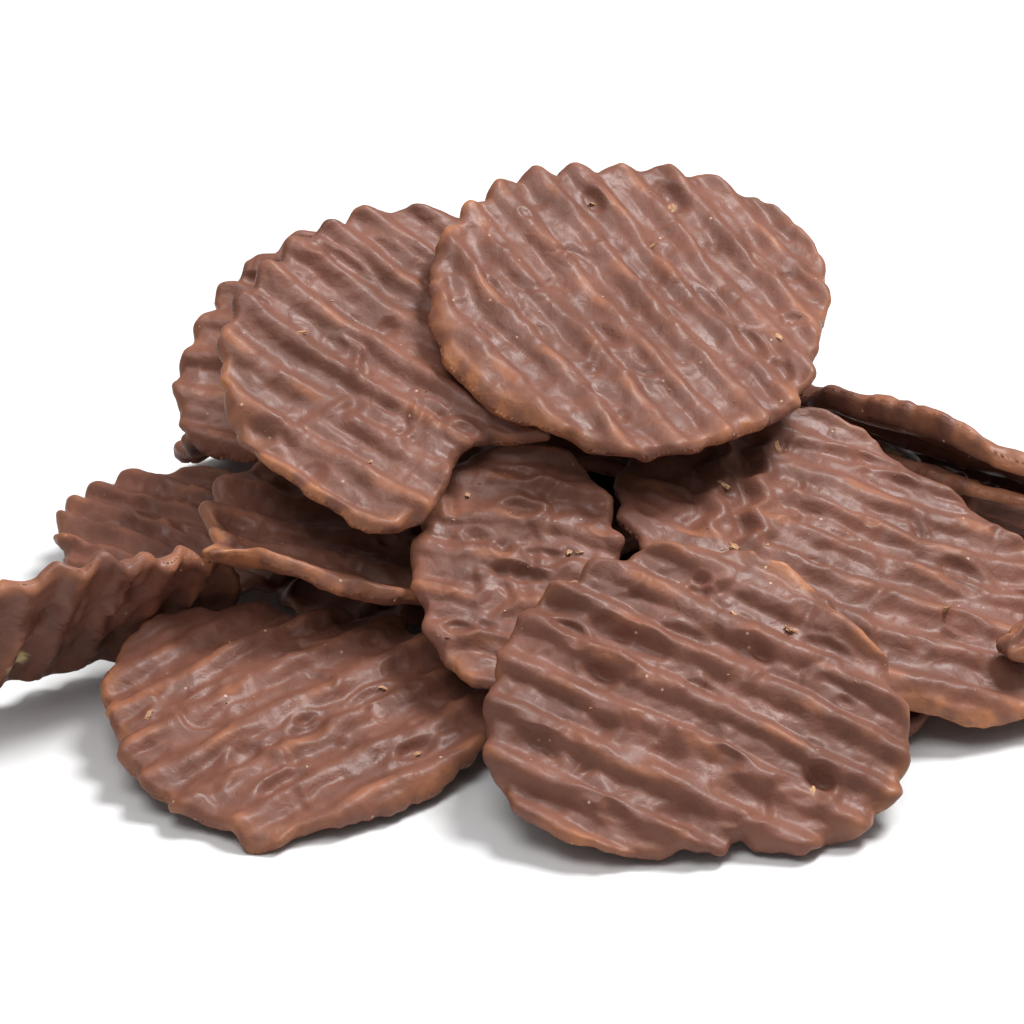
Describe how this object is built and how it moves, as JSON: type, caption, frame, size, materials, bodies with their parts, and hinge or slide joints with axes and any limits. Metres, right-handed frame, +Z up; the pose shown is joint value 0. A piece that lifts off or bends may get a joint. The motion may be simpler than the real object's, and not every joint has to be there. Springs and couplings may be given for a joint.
{
  "type": "heap of chocolate-coated ridged crisps",
  "caption": "Loose heap of chocolate-coated ridged crisps, curved and leaning on each other, for filling a bowl or dressing a table.",
  "frame": {"origin": "centre of the heap's bounding box on the surface it stands on", "axes": "+X to the right along the heap's longest extent, +Y from the low front of the heap to its tall back, +Z up"},
  "size_m": [0.1424, 0.125, 0.0497],
  "materials": {
    "chocolate": "satin milk chocolate coat over a ridged potato crisp, thin and golden brown on crests and rims",
    "potato": "matte fried potato where the coat is broken"
  },
  "bodies": {
    "root": {"crisp_top": "chocolate", "crisp_upper_left": "chocolate", "crisp_behind_left": "chocolate", "crisp_cupped": "chocolate", "crisp_far_left": "chocolate", "crisp_leaning_left": "chocolate", "crisp_front_left": "chocolate", "crisp_front_right": "chocolate", "crisp_middle": "chocolate", "crisp_right": "chocolate", "crisp_leaning_right": "chocolate", "crisp_under_leaning": "chocolate", "crisp_under_right": "chocolate", "crisp_back_left": "chocolate", "crisp_base_left": "chocolate", "crisp_base_right": "chocolate", "crisp_back": "chocolate", "crisp_base_front": "chocolate", "crisp_inside_low": "chocolate", "crisp_inside_high": "chocolate", "crisp_inside_back": "chocolate", "crisp_inside_top": "chocolate", "broken_piece": "potato"}
  },
  "joints": []
}
